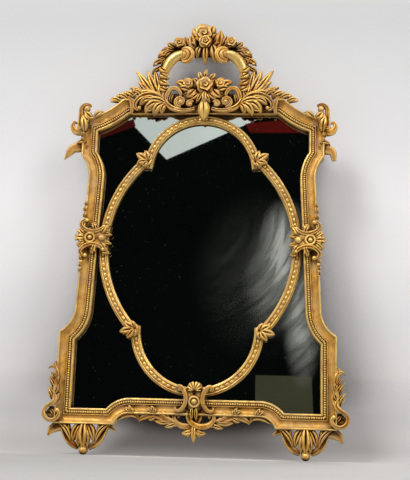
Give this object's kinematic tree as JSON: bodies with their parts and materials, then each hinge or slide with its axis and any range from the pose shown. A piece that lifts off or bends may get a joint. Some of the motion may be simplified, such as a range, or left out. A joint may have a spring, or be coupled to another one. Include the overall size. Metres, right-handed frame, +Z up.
{
  "type": "wall mirror",
  "caption": "Carved gilt wall mirror with a waisted frame, an oval inner moulding over bordered plates, a pierced floral crest and leaf feet, hung from two rings.",
  "frame": {"origin": "on the wall plane, midway between the pins of the two hanger rings", "axes": "+X to the viewer's right as one faces the glass, +Y from the mirror into the wall, +Z up"},
  "size_m": [0.809, 0.0616, 1.2265],
  "materials": {
    "gilded_moulding": "antique gilding over gesso, rubbed on the edges",
    "gilded_beads": "antique gilding, dark between the beads",
    "gilded_carving": "antique gilding over gesso, dusty in the recesses",
    "burnished_gilding": "burnished gilding",
    "silvered_glass": "old silvering with haze and specks",
    "softwood_board": "raw, darkened with age",
    "beech_dowel": "raw",
    "brass": "dull",
    "zinc_plated_steel": "zinc plated",
    "steel_screw": "dull",
    "felt_pad": "pressed felt"
  },
  "bodies": {
    "mirror": {"top_rail": "gilded_moulding", "right_stile": "gilded_moulding", "left_stile": "gilded_moulding", "bottom_rail": "gilded_moulding", "oval_top_arc": "gilded_moulding", "oval_right_arc": "gilded_moulding", "oval_bottom_arc": "gilded_moulding", "oval_left_arc": "gilded_moulding", "bead_course": "gilded_beads", "corner_dowels": "beech_dowel", "backboard": "softwood_board", "oval_glass": "silvered_glass", "border_glass_upper_right": "silvered_glass", "border_glass_upper_left": "silvered_glass", "border_glass_lower_right": "silvered_glass", "border_glass_lower_left": "silvered_glass", "hanger_straps": "zinc_plated_steel", "oval_screws": "steel_screw", "turn_button_screws": "steel_screw", "hanger_screws": "steel_screw", "wall_pads": "felt_pad", "clasp_upper_right": "gilded_carving", "clasp_upper_left": "gilded_carving", "clasp_lower_right": "gilded_carving", "clasp_lower_left": "gilded_carving", "ear_volute_right": "gilded_carving", "ear_volute_left": "gilded_carving", "ear_horns_right": "gilded_carving", "ear_horns_left": "gilded_carving", "crest_arch_right": "burnished_gilding", "crest_arch_left": "burnished_gilding", "crest_acanthus_right": "gilded_carving", "crest_acanthus_left": "gilded_carving", "crest_volute_right": "gilded_carving", "crest_volute_left": "gilded_carving", "crest_fan_right": "gilded_carving", "crest_fan_left": "gilded_carving", "side_cartouche_right": "gilded_carving", "side_cartouche_left": "gilded_carving", "corner_volute_right": "gilded_carving", "corner_volute_left": "gilded_carving", "corner_leaf_right": "gilded_carving", "corner_leaf_left": "gilded_carving", "foot_right": "gilded_carving", "foot_left": "gilded_carving", "crest_husk": "gilded_carving", "crest_lower_bouquet": "gilded_carving", "crest_top_bouquet": "gilded_carving", "stile_pearls": "gilded_carving", "lower_cartouche": "gilded_carving", "lower_rings": "gilded_carving", "lower_pendant": "gilded_carving", "apron_waves": "gilded_carving", "foot_balls": "gilded_carving"},
    "hanger_ring_right_body": {"hanger_ring_right": "zinc_plated_steel"},
    "hanger_ring_left_body": {"hanger_ring_left": "zinc_plated_steel"},
    "turn_button_upper_right_body": {"turn_button_upper_right": "brass"},
    "turn_button_upper_left_body": {"turn_button_upper_left": "brass"},
    "turn_button_lower_right_body": {"turn_button_lower_right": "brass"},
    "turn_button_lower_left_body": {"turn_button_lower_left": "brass"}
  },
  "joints": [
    {"name": "hanger_ring_right_swing", "type": "hinge", "parent": "mirror", "child": "hanger_ring_right_body", "pos_m": [0.30146, -0.0045, 0], "axis": [1, 0, 0], "range_deg": [0, 180]},
    {"name": "hanger_ring_left_swing", "type": "hinge", "parent": "mirror", "child": "hanger_ring_left_body", "pos_m": [-0.30146, -0.0045, 0], "axis": [1, 0, 0], "range_deg": [0, 180]},
    {"name": "turn_button_upper_right_turn", "type": "hinge", "parent": "mirror", "child": "turn_button_upper_right_body", "pos_m": [0.29882, -0.0069, -0.1], "axis": [0, 1, 0], "continuous": true},
    {"name": "turn_button_upper_left_turn", "type": "hinge", "parent": "mirror", "child": "turn_button_upper_left_body", "pos_m": [-0.29882, -0.0069, -0.1], "axis": [0, 1, 0], "continuous": true},
    {"name": "turn_button_lower_right_turn", "type": "hinge", "parent": "mirror", "child": "turn_button_lower_right_body", "pos_m": [0.30754, -0.0069, -0.3], "axis": [0, 1, 0], "continuous": true},
    {"name": "turn_button_lower_left_turn", "type": "hinge", "parent": "mirror", "child": "turn_button_lower_left_body", "pos_m": [-0.30754, -0.0069, -0.3], "axis": [0, 1, 0], "continuous": true}
  ]
}
